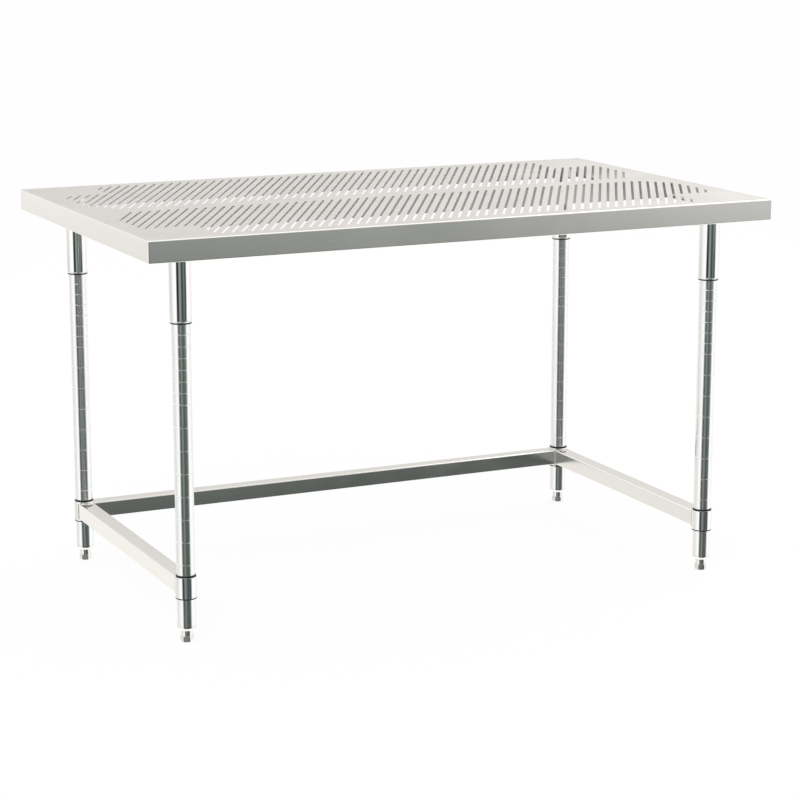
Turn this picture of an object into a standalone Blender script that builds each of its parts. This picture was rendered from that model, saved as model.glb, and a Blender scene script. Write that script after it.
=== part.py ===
# Stainless steel work table with a slotted top, grooved posts and a three-sided lower frame.
#
# The table stands on z = 0 with its centre over the origin.
# X runs along the length, and the open side of the lower frame faces -Y.
# All lengths are in metres.

import math

import bmesh
import bpy
from mathutils import Vector
from mathutils.geometry import delaunay_2d_cdt

# Overall size
TABLE_LENGTH = 1.524
TABLE_WIDTH = 0.9144
TABLE_HEIGHT = 0.9017

# Folded sheet of the worktop
SHEET = 0.0019
APRON_HEIGHT = 0.0486
RETURN_WIDTH = 0.0127
BEND_RADIUS = 0.0030

# Slots of the worktop, which lean from the width towards +X
SLOT_WIDTH = 0.00635
SLOT_PITCH = 0.0222
SLOT_LEAN = math.radians(30.0)
SLOT_SHORTEST = 0.020
SLOT_END_MARGIN = 0.045
SLOT_SIDE_MARGIN = 0.043
CENTRE_STRIP = 0.060
NOTCH_RUN = 0.060
NOTCH_RISE = 0.070

# Places of the legs, measured in from the table's ends and sides
LEG_FROM_END = 0.1045
LEG_FROM_SIDE = 0.1001

# Posts and their ring grooves, close together near the top and wide apart below
POST_RADIUS = 0.02065
POST_WALL = 0.0015
POST_BELOW_WORKTOP = 0.1294
GROOVE_DEPTH = 0.0007
GROOVE_WIDTH = 0.0030
LOWEST_GROOVE = 0.0894
HIGHEST_GROOVE = 0.0376
WIDE_PITCH = 0.0508
CLOSE_PITCH = 0.0254
CLOSE_GROOVES = 9

# Split sleeves that grip a groove and wedge in a socket or collar
SLEEVE_WALL = 0.00105
SLEEVE_TAPER = 0.00030
SLEEVE_HEIGHT = 0.0537
WORKTOP_RIB_HEIGHT = 0.0290
FRAME_RIB_HEIGHT = 0.0271
SLEEVE_FLANGE = 0.0024
SLEEVE_FLANGE_REACH = 0.0014

# Tubes that slip over the sleeves
SOCKET_WALL = 0.0015
COLLAR_HEIGHT = 0.0468

# Plates and channel under the worktop
PLATE_THICKNESS = 0.0030
PLATE_CORNER = 0.0120
PLATE_FROM_SLOTS = 0.0060
CORNER_REACH_X = 0.0615
CORNER_REACH_Y = 0.0701
CHANNEL_WIDTH = 0.0560
CHANNEL_WALL = 0.0019
CHANNEL_CORNER = 0.0025

# Square tube of the lower frame
RAIL_SIZE = 0.0381
RAIL_WALL = 0.0015
RAIL_CORNER = 0.0025
RAIL_BELOW_COLLAR_TOP = 0.0043

# Plug in the top of a post
CAP_DEPTH = 0.0120
CAP_FLANGE = 0.0016

# Plug in the bottom of a post
INSERT_DEPTH = 0.0320
INSERT_TAPER_HEIGHT = 0.0100
INSERT_FOOT_MARGIN = 0.0006
STEM_RADIUS = 0.0050

# Levelling foot
FOOT_HEIGHT = 0.0257
FOOT_HEX_HEIGHT = 0.0130
FOOT_RADIUS = 0.0125
FOOT_HEX_ACROSS_FLATS = 0.0254
FOOT_CHAMFER = 0.0012
STEM_LENGTH = 0.0290

# Gap left between neighbours, and the overrun of a cut
CLEARANCE = 0.0003
OVERRUN = 0.0050

# Facets
ROUND_SEGMENTS = 12
SLOT_END_SEGMENTS = 3
BEND_SEGMENTS = 2
BEND_ROUND_SHARE = 0.5
HEX_SIDES = 6

# The kind of triangulation that keeps only what lies inside the given rings
INSIDE_RINGS = 1

# Heights that follow from the sizes above
DECK_UNDERSIDE = TABLE_HEIGHT - SHEET
APRON_BOTTOM = TABLE_HEIGHT - APRON_HEIGHT
POST_BOTTOM = FOOT_HEIGHT + INSERT_TAPER_HEIGHT
POST_TOP = TABLE_HEIGHT - POST_BELOW_WORKTOP
PLATE_TOP = DECK_UNDERSIDE - CLEARANCE
SOCKET_TOP = PLATE_TOP - PLATE_THICKNESS - CLEARANCE

# Radii that follow, from the post outwards
POST_BORE = POST_RADIUS - POST_WALL
SLEEVE_BORE = POST_RADIUS + CLEARANCE
SLEEVE_RADIUS = SLEEVE_BORE + SLEEVE_WALL
SOCKET_BORE = SLEEVE_RADIUS + CLEARANCE
SOCKET_RADIUS = SOCKET_BORE + SOCKET_WALL

# Leg axes
LEG_X = TABLE_LENGTH / 2 - LEG_FROM_END
LEG_Y = TABLE_WIDTH / 2 - LEG_FROM_SIDE
LEGS = {
    "front_left": Vector((-LEG_X, -LEG_Y)),
    "front_right": Vector((LEG_X, -LEG_Y)),
    "back_left": Vector((-LEG_X, LEG_Y)),
    "back_right": Vector((LEG_X, LEG_Y)),
}


def groove_heights():
    """Heights of the ring grooves above the floor, from the lowest to the highest.

    The close ones are set from the post's top, and the wide ones fill the length from its bottom up to them.
    """
    lowest = POST_BOTTOM + LOWEST_GROOVE
    close_start = POST_TOP - HIGHEST_GROOVE - CLOSE_PITCH * (CLOSE_GROOVES - 1)
    wide_grooves = max(1, round((close_start - lowest) / WIDE_PITCH))
    heights = [lowest + WIDE_PITCH * step for step in range(wide_grooves)]
    heights += [close_start + CLOSE_PITCH * step for step in range(CLOSE_GROOVES)]
    return heights


def worktop_sleeve_bottom():
    """Height of a worktop sleeve's lower end, with its rib in the highest groove."""
    return max(groove_heights()) - WORKTOP_RIB_HEIGHT


def frame_sleeve_bottom():
    """Height of a frame sleeve's lower end, with its rib in the lowest groove."""
    return min(groove_heights()) - FRAME_RIB_HEIGHT


def seat_on_sleeve(low):
    """Height at which a tube rests on the flange of a sleeve whose lower end is at this height."""
    return low + SLEEVE_FLANGE + CLEARANCE


def make_material(name, colour, metallic, roughness):
    material = bpy.data.materials.new(name)
    material.use_nodes = True
    shader = material.node_tree.nodes["Principled BSDF"]
    shader.inputs["Base Color"].default_value = (*colour, 1.0)
    shader.inputs["Metallic"].default_value = metallic
    shader.inputs["Roughness"].default_value = roughness
    material.diffuse_color = (*colour, 1.0)
    return material


def brushed_steel(name):
    return make_material(name + "_brushed_stainless", (0.72, 0.71, 0.69), 1.0, 0.35)


def polished_steel(name):
    return make_material(name + "_polished_stainless", (0.78, 0.78, 0.77), 1.0, 0.12)


def black_plastic(name):
    return make_material(name + "_black_nylon", (0.02, 0.02, 0.022), 0.0, 0.45)


def grey_plastic(name):
    return make_material(name + "_grey_polyethylene", (0.35, 0.35, 0.36), 0.0, 0.5)


def cast_metal(name):
    return make_material(name + "_plated_zinc", (0.75, 0.75, 0.74), 1.0, 0.2)


def object_from_bmesh(name, bm, material, smooth=False):
    mesh = bpy.data.meshes.new(name)
    bmesh.ops.recalc_face_normals(bm, faces=bm.faces[:])
    bm.to_mesh(mesh)
    bm.free()
    if smooth:
        mesh.shade_smooth()
        mesh.set_sharp_from_angle(angle=math.radians(35.0))
    obj = bpy.data.objects.new(name, mesh)
    bpy.context.collection.objects.link(obj)
    mesh.materials.append(material)
    return obj


def turned(name, profile, material, start=0.0, sweep=2 * math.pi):
    """Turn a closed profile of (radius, height) points about the vertical axis.

    A part turn keeps its two flat ends. A profile that touches the axis gives a solid piece.
    """
    bm = bmesh.new()
    full = math.isclose(sweep, 2 * math.pi)
    segments = max(2, round(ROUND_SEGMENTS * sweep / (2 * math.pi)))
    direction = Vector((math.cos(start), math.sin(start), 0.0))
    points = [bm.verts.new(direction * radius + Vector((0.0, 0.0, height))) for radius, height in profile]
    outline = bm.faces.new(points)
    if full:
        edges = outline.edges[:]
        bmesh.ops.delete(bm, geom=[outline], context="FACES_ONLY")
        bmesh.ops.spin(bm, geom=edges, angle=sweep, steps=segments, axis=(0.0, 0.0, 1.0), use_merge=True)
    else:
        bmesh.ops.spin(bm, geom=[outline], angle=sweep, steps=segments, axis=(0.0, 0.0, 1.0))
    bmesh.ops.remove_doubles(bm, verts=bm.verts[:], dist=CLEARANCE / 100)
    bmesh.ops.dissolve_degenerate(bm, edges=bm.edges[:], dist=CLEARANCE / 100)
    loose = [edge for edge in bm.edges if not edge.link_faces]
    bmesh.ops.delete(bm, geom=loose, context="EDGES")
    return object_from_bmesh(name, bm, material, smooth=True)


def prism(name, outline, low, high, material):
    """Extrude a flat outline of (x, y) points from one height to another."""
    bm = bmesh.new()
    face = bm.faces.new([bm.verts.new((x, y, low)) for x, y in outline])
    raised = bmesh.ops.extrude_face_region(bm, geom=[face])
    moved = [item for item in raised["geom"] if isinstance(item, bmesh.types.BMVert)]
    bmesh.ops.translate(bm, verts=moved, vec=(0.0, 0.0, high - low))
    return object_from_bmesh(name, bm, material)


def rounded_rectangle(low, high, radii, segments):
    """Outline of a rectangle from its low to its high corner, with one radius for each corner.

    The radii go round from the low corner, anticlockwise.
    """
    corners = [
        (Vector(low), Vector((1.0, 1.0)), math.pi),
        (Vector((high[0], low[1])), Vector((-1.0, 1.0)), 1.5 * math.pi),
        (Vector(high), Vector((-1.0, -1.0)), 0.0),
        (Vector((low[0], high[1])), Vector((1.0, -1.0)), 0.5 * math.pi),
    ]
    outline = []
    for (corner, inward, start), radius in zip(corners, radii):
        centre = corner + inward * radius
        for step in range(segments + 1):
            angle = start + 0.5 * math.pi * step / segments
            outline.append(centre + radius * Vector((math.cos(angle), math.sin(angle))))
    return outline


def cutter_from_bmesh(name, bm):
    mesh = bpy.data.meshes.new(name)
    bmesh.ops.recalc_face_normals(bm, faces=bm.faces[:])
    bm.to_mesh(mesh)
    bm.free()
    cutter = bpy.data.objects.new(name, mesh)
    cutter.hide_render = True
    cutter.display_type = "WIRE"
    bpy.context.collection.objects.link(cutter)
    return cutter


def cut(obj, cutter):
    modifier = obj.modifiers.new("cut_" + cutter.name, "BOOLEAN")
    modifier.operation = "DIFFERENCE"
    modifier.solver = "EXACT"
    modifier.object = cutter


def slotted_band():
    """Outline of the slotted area behind the centre strip.

    It leaves the two back corners free for the socket plates, and is cut back beside the ends of the strip:
    at +X along a slot, at -X on a steeper notch.
    """
    inner = CENTRE_STRIP / 2
    outer = TABLE_WIDTH / 2 - SLOT_SIDE_MARGIN
    end = TABLE_LENGTH / 2 - SLOT_END_MARGIN
    corner_x = LEG_X - CORNER_REACH_X
    corner_y = LEG_Y - CORNER_REACH_Y
    return [
        (NOTCH_RUN - end, inner),
        (end - NOTCH_RUN, inner),
        (end, inner + NOTCH_RUN / math.tan(SLOT_LEAN)),
        (end, corner_y),
        (corner_x, corner_y),
        (corner_x, outer),
        (-corner_x, outer),
        (-corner_x, corner_y),
        (-end, corner_y),
        (-end, inner + NOTCH_RISE),
    ]


def slot_runs():
    """Both ends of each slot's centre line, found by clipping leaning lines to the slotted bands."""
    slope = math.tan(SLOT_LEAN)
    band = slotted_band()
    edges = list(zip(band, band[1:] + band[:1]))
    reach = math.ceil(TABLE_LENGTH / SLOT_PITCH)
    runs = []
    for index in range(-reach, reach):
        start = (index + 0.5) * SLOT_PITCH
        crossings = []
        for (x0, y0), (x1, y1) in edges:
            side0 = x0 - start - slope * y0
            side1 = x1 - start - slope * y1
            if (side0 < 0) != (side1 < 0):
                crossings.append(y0 + (y1 - y0) * side0 / (side0 - side1))
        crossings.sort()
        for low, high in zip(crossings[::2], crossings[1::2]):
            if (high - low) / math.cos(SLOT_LEAN) >= SLOT_SHORTEST:
                ends = (Vector((start + slope * low, low)), Vector((start + slope * high, high)))
                runs.append(ends)
                runs.append((-ends[1], -ends[0]))
    return runs


def slot_outline(low_end, high_end):
    """Outline of one slot with rounded ends."""
    along = (high_end - low_end).normalized()
    radius = SLOT_WIDTH / 2
    heading = math.atan2(along.y, along.x)
    ends = (
        (high_end - along * radius, heading - math.pi / 2),
        (low_end + along * radius, heading + math.pi / 2),
    )
    outline = []
    for centre, start in ends:
        for step in range(SLOT_END_SEGMENTS + 1):
            angle = start + math.pi * step / SLOT_END_SEGMENTS
            outline.append(centre + radius * Vector((math.cos(angle), math.sin(angle))))
    return outline


def pierce(bm, panel, outlines):
    """Put triangles with a hole for each outline in the place of a flat face."""
    rim = panel.verts[:]
    height = rim[0].co.z
    points = [vert.co.xy for vert in rim]
    rings = [range(len(points))]
    for outline in outlines:
        rings.append(range(len(points), len(points) + len(outline)))
        points += outline
    bmesh.ops.delete(bm, geom=[panel], context="FACES_ONLY")
    verts = rim + [bm.verts.new((point.x, point.y, height)) for point in points[len(rim):]]
    filled = delaunay_2d_cdt(points, [], [list(ring) for ring in rings], INSIDE_RINGS, CLEARANCE / 100)
    triangles, sources, rings_round = filled[2], filled[3], filled[5]
    for triangle, inside in zip(triangles, rings_round):
        if len(inside) == 1:
            bm.faces.new([verts[sources[corner][0]] for corner in triangle])


def make_slotted_deck():
    """One sheet, slotted, then folded down on four sides and in again below."""
    bm = bmesh.new()
    bmesh.ops.create_cube(bm, size=1.0)
    bmesh.ops.scale(bm, verts=bm.verts[:], vec=(TABLE_LENGTH, TABLE_WIDTH, APRON_HEIGHT))
    bmesh.ops.translate(bm, verts=bm.verts[:], vec=(0.0, 0.0, TABLE_HEIGHT - APRON_HEIGHT / 2))
    folds = bm.edges[:]
    bottom = min(bm.faces, key=lambda face: face.calc_center_median().z)
    bmesh.ops.inset_region(bm, faces=[bottom], thickness=RETURN_WIDTH, use_even_offset=True)
    bmesh.ops.delete(bm, geom=[bottom], context="FACES")
    bmesh.ops.bevel(
        bm, geom=folds, offset=BEND_RADIUS, segments=BEND_SEGMENTS, profile=BEND_ROUND_SHARE, affect="EDGES",
        clamp_overlap=False)
    top = max(bm.faces, key=lambda face: face.calc_area())
    pierce(bm, top, [slot_outline(*run) for run in slot_runs()])
    deck = object_from_bmesh("slotted_deck", bm, brushed_steel("slotted_deck"), smooth=True)
    gauge = deck.modifiers.new("sheet_gauge", "SOLIDIFY")
    gauge.thickness = SHEET
    gauge.offset = -1.0
    gauge.use_even_offset = True
    return deck


def make_centre_channel():
    """Channel with its web up against the sheet and its legs down beside the centre strip."""
    half = CHANNEL_WIDTH / 2
    top = DECK_UNDERSIDE - CLEARANCE
    bottom = APRON_BOTTOM + SHEET + CLEARANCE
    section = [
        (-half, bottom), (-half, top), (half, top), (half, bottom),
        (half - CHANNEL_WALL, bottom), (half - CHANNEL_WALL, top - CHANNEL_WALL),
        (CHANNEL_WALL - half, top - CHANNEL_WALL), (CHANNEL_WALL - half, bottom),
    ]
    end = TABLE_LENGTH / 2 - max(BEND_RADIUS, SHEET) - CLEARANCE
    bm = bmesh.new()
    face = bm.faces.new([bm.verts.new((-end, y, z)) for y, z in section])
    raised = bmesh.ops.extrude_face_region(bm, geom=[face])
    moved = [item for item in raised["geom"] if isinstance(item, bmesh.types.BMVert)]
    bmesh.ops.translate(bm, verts=moved, vec=(2 * end, 0.0, 0.0))
    outside = [
        edge for edge in bm.edges
        if all(math.isclose(vert.co.z, top, abs_tol=CLEARANCE / 100) for vert in edge.verts)
        and abs(edge.verts[0].co.x - edge.verts[1].co.x) > end
    ]
    bmesh.ops.bevel(
        bm, geom=outside, offset=CHANNEL_CORNER, segments=BEND_SEGMENTS, profile=BEND_ROUND_SHARE,
        affect="EDGES")
    return object_from_bmesh("centre_channel", bm, brushed_steel("centre_channel"))


def make_socket_plate(corner, axis):
    """Plate under the corner that has no slots, from beside the slots out to both aprons."""
    side = Vector((math.copysign(1.0, axis.x), math.copysign(1.0, axis.y)))
    inner = Vector((LEG_X - CORNER_REACH_X + PLATE_FROM_SLOTS, LEG_Y - CORNER_REACH_Y + PLATE_FROM_SLOTS))
    fold = max(BEND_RADIUS, SHEET) + CLEARANCE
    outer = Vector((TABLE_LENGTH / 2 - fold, TABLE_WIDTH / 2 - fold))
    radii = (PLATE_CORNER, PLATE_CORNER, BEND_RADIUS, PLATE_CORNER)
    outline = [
        (point.x * side.x, point.y * side.y)
        for point in rounded_rectangle(inner, outer, radii, BEND_SEGMENTS)
    ]
    name = "socket_plate_" + corner
    return prism(name, outline, PLATE_TOP - PLATE_THICKNESS, PLATE_TOP, brushed_steel(name))


def tube_profile(bore, radius, low, high):
    return [(bore, low), (radius, low), (radius, high), (bore, high)]


def place_at_leg(obj, axis):
    obj.location = (axis.x, axis.y, 0.0)
    return obj


def make_leg_socket(corner, axis):
    name = "leg_socket_" + corner
    low = seat_on_sleeve(worktop_sleeve_bottom())
    profile = tube_profile(SOCKET_BORE, SOCKET_RADIUS, low, SOCKET_TOP)
    return place_at_leg(turned(name, profile, polished_steel(name)), axis)


def make_frame_collar(corner, axis):
    name = "frame_collar_" + corner
    low = seat_on_sleeve(frame_sleeve_bottom())
    profile = tube_profile(SOCKET_BORE, SOCKET_RADIUS, low, low + COLLAR_HEIGHT)
    return place_at_leg(turned(name, profile, polished_steel(name)), axis)


def make_post(corner, axis):
    """Tube with a ring groove at each height where a sleeve can grip."""
    profile = [(POST_BORE, POST_TOP), (POST_BORE, POST_BOTTOM), (POST_RADIUS, POST_BOTTOM)]
    for height in groove_heights():
        profile.append((POST_RADIUS, height - GROOVE_WIDTH / 2))
        profile.append((POST_RADIUS - GROOVE_DEPTH, height))
        profile.append((POST_RADIUS, height + GROOVE_WIDTH / 2))
    profile.append((POST_RADIUS, POST_TOP))
    name = "post_" + corner
    return place_at_leg(turned(name, profile, polished_steel(name)), axis)


def make_post_cap(corner, axis):
    """Plug that closes the top of a post inside the leg socket."""
    plug = POST_BORE - CLEARANCE
    seat = POST_TOP + CLEARANCE
    top = seat + CAP_FLANGE
    profile = [
        (0.0, seat - CAP_DEPTH),
        (plug, seat - CAP_DEPTH),
        (plug, seat),
        (POST_RADIUS, seat),
        (POST_RADIUS - CAP_FLANGE / 2, top),
        (0.0, top),
    ]
    name = "post_cap_" + corner
    return place_at_leg(turned(name, profile, grey_plastic(name)), axis)


def make_foot_insert(corner, axis):
    """Plug in the bottom of a post that tapers down to the foot and carries the foot's stem."""
    plug = POST_BORE - CLEARANCE
    bore = STEM_RADIUS + CLEARANCE
    seat = POST_BOTTOM - CLEARANCE
    low = FOOT_HEIGHT + CLEARANCE
    profile = [
        (bore, low),
        (FOOT_RADIUS + INSERT_FOOT_MARGIN, low),
        (POST_RADIUS, seat),
        (plug, seat),
        (plug, seat + INSERT_DEPTH),
        (bore, seat + INSERT_DEPTH),
    ]
    name = "foot_insert_" + corner
    return place_at_leg(turned(name, profile, cast_metal(name)), axis)


def hexagon(radius, height):
    return [
        (radius * math.cos(math.pi * (2 * side + 1) / HEX_SIDES),
         radius * math.sin(math.pi * (2 * side + 1) / HEX_SIDES), height)
        for side in range(HEX_SIDES)
    ]


def make_levelling_foot(corner, axis):
    """Hex foot with a round neck and the stem that screws into the insert.

    The neck is a round bar, and the hexagon under it is joined to it by a union.
    """
    name = "levelling_foot_" + corner
    neck_low = FOOT_HEX_HEIGHT / 2
    stem_top = FOOT_HEIGHT + STEM_LENGTH
    profile = [
        (0.0, neck_low),
        (FOOT_RADIUS, neck_low),
        (FOOT_RADIUS, FOOT_HEIGHT - FOOT_CHAMFER),
        (FOOT_RADIUS - FOOT_CHAMFER, FOOT_HEIGHT),
        (STEM_RADIUS, FOOT_HEIGHT),
        (STEM_RADIUS, stem_top),
        (0.0, stem_top),
    ]
    foot = turned(name, profile, cast_metal(name))
    corner_radius = FOOT_HEX_ACROSS_FLATS / 2 / math.cos(math.pi / HEX_SIDES)
    bm = bmesh.new()
    rings = [
        (corner_radius - FOOT_CHAMFER, 0.0),
        (corner_radius, FOOT_CHAMFER),
        (corner_radius, FOOT_HEX_HEIGHT - FOOT_CHAMFER),
        (corner_radius - FOOT_CHAMFER, FOOT_HEX_HEIGHT),
    ]
    loops = [[bm.verts.new(point) for point in hexagon(radius, height)] for radius, height in rings]
    for lower, upper in zip(loops, loops[1:]):
        for side in range(HEX_SIDES):
            following = (side + 1) % HEX_SIDES
            bm.faces.new((lower[side], lower[following], upper[following], upper[side]))
    bm.faces.new(loops[0][::-1])
    bm.faces.new(loops[-1])
    hexagon_piece = cutter_from_bmesh("hexagon_of_" + name, bm)
    union = foot.modifiers.new("hexagon", "BOOLEAN")
    union.operation = "UNION"
    union.solver = "EXACT"
    union.object = hexagon_piece
    place_at_leg(hexagon_piece, axis)
    return place_at_leg(foot, axis)


def make_sleeve_half(name, axis, low, rib, start):
    """Half of a split sleeve: flange below, a body that narrows upwards, and a rib in the post's groove.

    low is the height of its lower end, and rib the height of the groove that it grips.
    """
    profile = [
        (SLEEVE_BORE, low),
        (SLEEVE_RADIUS + SLEEVE_FLANGE_REACH, low),
        (SLEEVE_RADIUS + SLEEVE_FLANGE_REACH, low + SLEEVE_FLANGE),
        (SLEEVE_RADIUS, low + SLEEVE_FLANGE),
        (SLEEVE_RADIUS - SLEEVE_TAPER, low + SLEEVE_HEIGHT),
        (SLEEVE_BORE, low + SLEEVE_HEIGHT),
        (SLEEVE_BORE, rib + GROOVE_WIDTH / 2),
        (SLEEVE_BORE - GROOVE_DEPTH, rib),
        (SLEEVE_BORE, rib - GROOVE_WIDTH / 2),
    ]
    half_gap = math.asin(CLEARANCE / 2 / SLEEVE_BORE)
    sleeve = turned(name, profile, black_plastic(name), start + half_gap, math.pi - 2 * half_gap)
    return place_at_leg(sleeve, axis)


def make_sleeves(kind, corner, axis, low, rib):
    """The two halves of one sleeve, split front to back."""
    make_sleeve_half(f"{kind}_sleeve_{corner}_front_half", axis, low, rib, math.pi)
    make_sleeve_half(f"{kind}_sleeve_{corner}_back_half", axis, low, rib, 0.0)


def square_tube(name, length, material):
    """Square tube along X, centred on the origin."""
    half = RAIL_SIZE / 2
    bore = half - RAIL_WALL
    bm = bmesh.new()
    outer = rounded_rectangle((-half, -half), (half, half), (RAIL_CORNER,) * 4, BEND_SEGMENTS)
    inner_corner = max(RAIL_CORNER - RAIL_WALL, CLEARANCE)
    inner = rounded_rectangle((-bore, -bore), (bore, bore), (inner_corner,) * 4, BEND_SEGMENTS)
    rings = []
    for x in (-length / 2, length / 2):
        rings.append([bm.verts.new((x, y, z)) for y, z in outer])
        rings.append([bm.verts.new((x, y, z)) for y, z in inner])
    count = len(outer)
    for first, second in ((0, 2), (1, 3), (0, 1), (2, 3)):
        for step in range(count):
            following = (step + 1) % count
            bm.faces.new((
                rings[first][step], rings[first][following],
                rings[second][following], rings[second][step]))
    return object_from_bmesh(name, bm, material)


def collar_cutter(name, axis, height):
    """Round bar as wide as a collar and its gap, for the saddle cut at a rail's end.

    The quarter turn brings its facets in line with the collar's.
    """
    bm = bmesh.new()
    bmesh.ops.create_cone(
        bm, cap_ends=True, segments=ROUND_SEGMENTS, radius1=SOCKET_RADIUS + CLEARANCE,
        radius2=SOCKET_RADIUS + CLEARANCE, depth=RAIL_SIZE + 2 * OVERRUN)
    cutter = cutter_from_bmesh(name, bm)
    cutter.rotation_euler.z = math.pi / 2
    cutter.location = (axis.x, axis.y, height)
    return cutter


def side_rail_cutter(name, x, height):
    """Block as wide as a side rail and its gap, for the back rail's end."""
    bm = bmesh.new()
    bmesh.ops.create_cube(bm, size=1.0)
    width = RAIL_SIZE + 2 * CLEARANCE
    bmesh.ops.scale(bm, verts=bm.verts[:], vec=(width, RAIL_SIZE + OVERRUN, RAIL_SIZE + 2 * OVERRUN))
    cutter = cutter_from_bmesh(name, bm)
    cutter.location = (x, LEG_Y - RAIL_SIZE / 2 - OVERRUN / 2, height)
    return cutter


def make_lower_frame():
    """Two side rails and a back rail, each end cut to sit against its collar."""
    collar_top = seat_on_sleeve(frame_sleeve_bottom()) + COLLAR_HEIGHT
    height = collar_top - RAIL_BELOW_COLLAR_TOP - RAIL_SIZE / 2
    saddles = {corner: collar_cutter("saddle_" + corner, axis, height) for corner, axis in LEGS.items()}
    for side, x in (("left", -LEG_X), ("right", LEG_X)):
        name = "rail_" + side
        rail = square_tube(name, 2 * LEG_Y, brushed_steel(name))
        rail.rotation_euler.z = math.pi / 2
        rail.location = (x, 0.0, height)
        cut(rail, saddles["front_" + side])
        cut(rail, saddles["back_" + side])
    back = square_tube("rail_back", 2 * LEG_X, brushed_steel("rail_back"))
    back.location = (0.0, LEG_Y, height)
    cut(back, saddles["back_left"])
    cut(back, saddles["back_right"])
    cut(back, side_rail_cutter("left_rail_clearance", -LEG_X, height))
    cut(back, side_rail_cutter("right_rail_clearance", LEG_X, height))


def build():
    for old in list(bpy.data.objects):
        bpy.data.objects.remove(old, do_unlink=True)
    make_slotted_deck()
    make_centre_channel()
    make_lower_frame()
    for corner, axis in LEGS.items():
        make_socket_plate(corner, axis)
        make_leg_socket(corner, axis)
        make_post(corner, axis)
        make_post_cap(corner, axis)
        make_foot_insert(corner, axis)
        make_levelling_foot(corner, axis)
        make_frame_collar(corner, axis)
        make_sleeves("worktop", corner, axis, worktop_sleeve_bottom(), max(groove_heights()))
        make_sleeves("frame", corner, axis, frame_sleeve_bottom(), min(groove_heights()))


build()
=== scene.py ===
"""Dressed model of a stainless steel work table.

The slotted worktop stands on four grooved posts, which a three-sided lower frame ties together.
Lengths are in metres. X runs along the table, and the open side of the lower frame faces -Y.
"""
import math

import bmesh
import bpy
from mathutils import Matrix, Vector


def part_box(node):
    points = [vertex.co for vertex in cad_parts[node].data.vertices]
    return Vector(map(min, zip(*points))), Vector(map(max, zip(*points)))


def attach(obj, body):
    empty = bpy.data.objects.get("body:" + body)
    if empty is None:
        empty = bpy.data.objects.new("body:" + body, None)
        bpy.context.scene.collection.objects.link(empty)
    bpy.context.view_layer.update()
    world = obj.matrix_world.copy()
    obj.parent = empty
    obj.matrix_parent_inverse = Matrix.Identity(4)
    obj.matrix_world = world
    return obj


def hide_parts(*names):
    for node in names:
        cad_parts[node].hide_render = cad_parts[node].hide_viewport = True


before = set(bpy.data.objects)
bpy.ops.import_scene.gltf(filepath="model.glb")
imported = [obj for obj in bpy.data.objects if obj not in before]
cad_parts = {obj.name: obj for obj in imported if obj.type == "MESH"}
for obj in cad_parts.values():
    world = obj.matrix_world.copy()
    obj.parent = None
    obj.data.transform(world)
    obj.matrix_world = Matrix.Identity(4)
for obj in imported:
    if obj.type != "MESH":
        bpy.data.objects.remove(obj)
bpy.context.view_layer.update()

CORNERS = ("front_left", "front_right", "back_left", "back_right")

# Points closer than TOUCHING are merged. HAIR is the width of a step that has to look sharp.
TOUCHING = 1e-6
HAIR = 1e-5

# Gap between pieces that sit or slide in each other
FIT_GAP = 0.0003

# Sheet of the worktop
SHEET = 0.0019
RETURN_WIDTH = 0.0127
BEND_RADIUS = 0.0028
BEND_STEPS = 6
RIM_SOFTENING = 0.0002
SHARP_EDGE = math.radians(60.0)

# Slots, which lean from the width towards +X
SLOT_WIDTH = 0.00635
SLOT_PITCH = 0.0222
SLOT_LEAN = math.radians(30.0)
SLOT_SHORTEST = 0.020
SLOT_END_MARGIN = 0.045
SLOT_SIDE_MARGIN = 0.043
SLOT_SIDES = 20
CENTRE_STRIP = 0.060
NOTCH_RUN = 0.060
NOTCH_RISE = 0.070
CORNER_REACH_X = 0.0615
CORNER_REACH_Y = 0.0701

# Channel and corner plates under the worktop
CHANNEL_WALL = 0.0019
CHANNEL_BEND = 0.0030
STITCHES = 11
STITCH_LENGTH = 0.024
PLATE_CORNER = 0.0120
PLATE_EDGE = 0.0004

# Tubes. A fine line is rolled round each socket near its lower edge.
TUBE_WALL = 0.0015
TUBE_LIP = 0.0004
ROUND_SIDES = 72
SOCKET_CHAMFER = 0.0008
SOCKET_LINE_HEIGHT = 0.0034
SOCKET_LINE_DEPTH = 0.0004
SOCKET_LINE_SLOPE = 0.0009
SOCKET_LINE_STEP = 0.0002

# Ring grooves of the posts. The lowest is measured from the post's foot and the highest from its top.
GROOVE_DEPTH = 0.00032
GROOVE_WIDTH = 0.0024
LOWEST_GROOVE = 0.0894
HIGHEST_GROOVE = 0.0376
WIDE_PITCH = 0.0508
CLOSE_PITCH = 0.0254
CLOSE_GROOVES = 9
GROOVE_STEPS = 9

# Plugs in the posts' tops. The ribs' places are shares of the height inside the tube, and the dome is
# a share of the radius and a depth below the top.
CAP_LEAD = 0.0012
CAP_RIBS = (0.25, 0.5, 0.75)
CAP_RIB_DEPTH = 0.0008
CAP_RIB_RISE = 0.0012
CAP_RIB_FALL = 0.0006
CAP_BRIM = 0.0005
CAP_DOME = ((0.96, 0.0004), (0.8, 0.0), (0.0, 0.0))

# Split sleeves
RIB_HEIGHTS = {"worktop": 0.0290, "frame": 0.0271}
SLEEVE_FLANGE = 0.0024
SLEEVE_FLANGE_REACH = 0.0014
SLEEVE_TAPER = 0.0003
SPLIT_GAP = 0.0003

# Rails
RAIL_WALL = 0.0015
RAIL_CORNER = 0.0028
RAIL_CORNER_STEPS = 5
SADDLE_GAP = 0.0003
SADDLE_STEPS = 8

# Tapered plugs under the posts
PLUG_TAPER = math.radians(36.0)
PLUG_SHOULDER = 0.0050

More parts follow.
